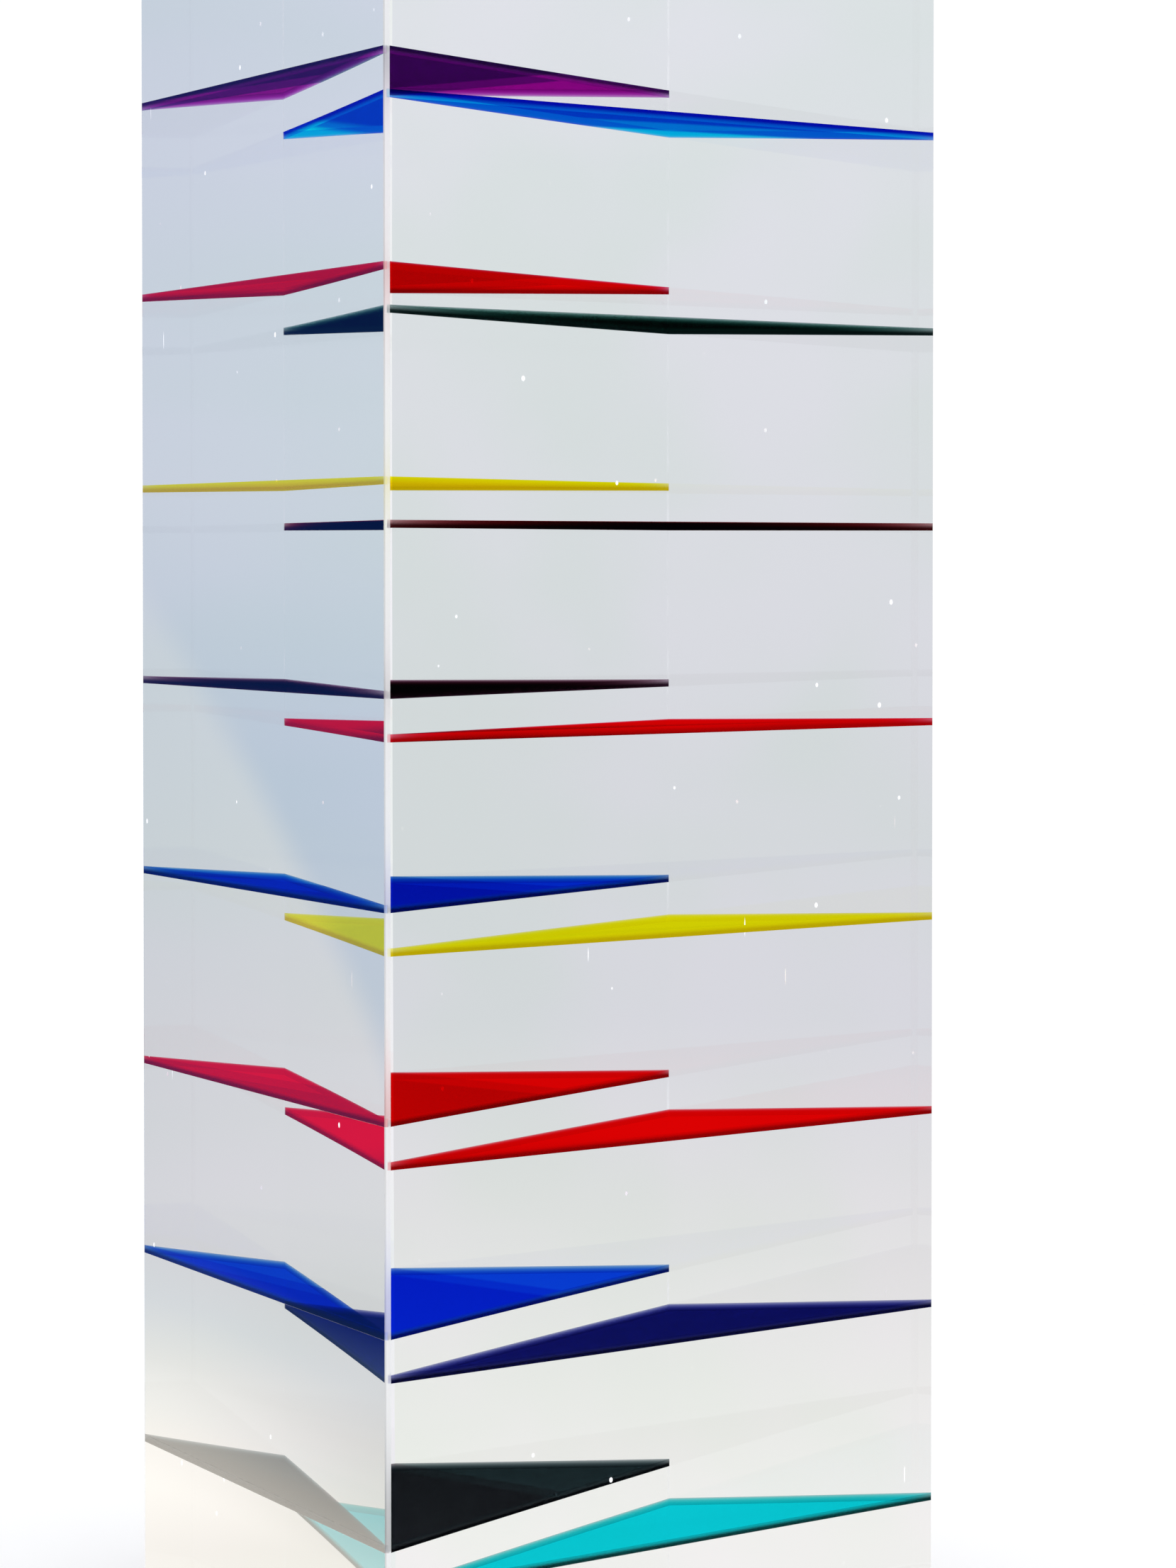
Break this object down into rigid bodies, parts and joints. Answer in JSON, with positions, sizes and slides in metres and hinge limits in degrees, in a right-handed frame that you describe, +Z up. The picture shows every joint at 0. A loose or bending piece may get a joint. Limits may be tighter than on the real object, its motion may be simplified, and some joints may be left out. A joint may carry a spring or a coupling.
{
  "type": "laminated acrylic column",
  "caption": "Free-standing triangular column of clear acrylic, split into two bonded halves of stacked blocks with thin transparent coloured sheets between them.",
  "frame": {"origin": "centre of the resting face's bounding box, on the surface that the column stands on", "axes": "+Z up along the column, +X to the viewer's right, +Y from the front edge towards the flat back face"},
  "size_m": [0.165, 0.1428, 0.354],
  "materials": {
    "clear_acrylic": "polished clear cast acrylic",
    "violet_acrylic": "polished transparent coloured acrylic",
    "crimson_acrylic": "polished transparent coloured acrylic",
    "yellow_acrylic": "polished transparent coloured acrylic",
    "charcoal_acrylic": "polished transparent coloured acrylic",
    "cobalt_acrylic": "polished transparent coloured acrylic",
    "scarlet_acrylic": "polished transparent coloured acrylic",
    "royal_blue_acrylic": "polished transparent coloured acrylic",
    "smoke_acrylic": "polished transparent coloured acrylic",
    "azure_acrylic": "polished transparent coloured acrylic",
    "dark_green_acrylic": "polished transparent coloured acrylic",
    "maroon_acrylic": "polished transparent coloured acrylic",
    "ruby_acrylic": "polished transparent coloured acrylic",
    "lemon_acrylic": "polished transparent coloured acrylic",
    "flame_red_acrylic": "polished transparent coloured acrylic",
    "navy_acrylic": "polished transparent coloured acrylic",
    "turquoise_acrylic": "polished transparent coloured acrylic"
  },
  "bodies": {
    "root": {"left_block_1": "clear_acrylic", "left_block_2": "clear_acrylic", "left_block_3": "clear_acrylic", "left_block_4": "clear_acrylic", "left_block_5": "clear_acrylic", "left_block_6": "clear_acrylic", "left_block_7": "clear_acrylic", "left_block_8": "clear_acrylic", "left_block_9": "clear_acrylic", "left_sheet_1_violet": "violet_acrylic", "left_sheet_2_crimson": "crimson_acrylic", "left_sheet_3_yellow": "yellow_acrylic", "left_sheet_4_charcoal": "charcoal_acrylic", "left_sheet_5_cobalt": "cobalt_acrylic", "left_sheet_6_scarlet": "scarlet_acrylic", "left_sheet_7_royal_blue": "royal_blue_acrylic", "left_sheet_8_smoke": "smoke_acrylic", "right_block_1": "clear_acrylic", "right_block_2": "clear_acrylic", "right_block_3": "clear_acrylic", "right_block_4": "clear_acrylic", "right_block_5": "clear_acrylic", "right_block_6": "clear_acrylic", "right_block_7": "clear_acrylic", "right_block_8": "clear_acrylic", "right_block_9": "clear_acrylic", "right_sheet_1_azure": "azure_acrylic", "right_sheet_2_dark_green": "dark_green_acrylic", "right_sheet_3_maroon": "maroon_acrylic", "right_sheet_4_ruby": "ruby_acrylic", "right_sheet_5_lemon": "lemon_acrylic", "right_sheet_6_flame_red": "flame_red_acrylic", "right_sheet_7_navy": "navy_acrylic", "right_sheet_8_turquoise": "turquoise_acrylic"}
  },
  "joints": []
}
